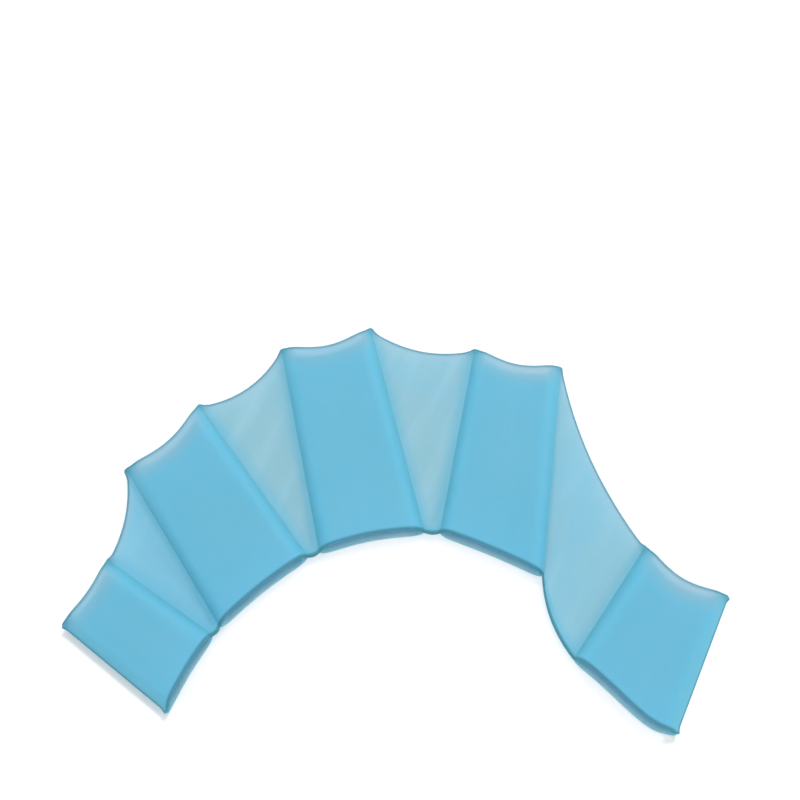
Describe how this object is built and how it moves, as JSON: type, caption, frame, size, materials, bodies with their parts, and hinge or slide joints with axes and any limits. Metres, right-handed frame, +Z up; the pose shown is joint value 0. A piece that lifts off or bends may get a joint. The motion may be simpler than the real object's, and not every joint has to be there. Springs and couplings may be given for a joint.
{
  "type": "webbed swim glove",
  "caption": "Soft silicone hand fin: flat open-ended finger sleeves joined side by side by thin webs, lying flat.",
  "frame": {"origin": "under the middle of the glove's box, on the surface that it lies on", "axes": "+X towards the thumb, +Y towards the fingertips, +Z up from the surface, out of the back of the hand"},
  "size_m": [0.1896, 0.1226, 0.0093],
  "materials": {
    "silicone": "translucent satin"
  },
  "bodies": {
    "root": {"glove": "silicone"}
  },
  "joints": []
}
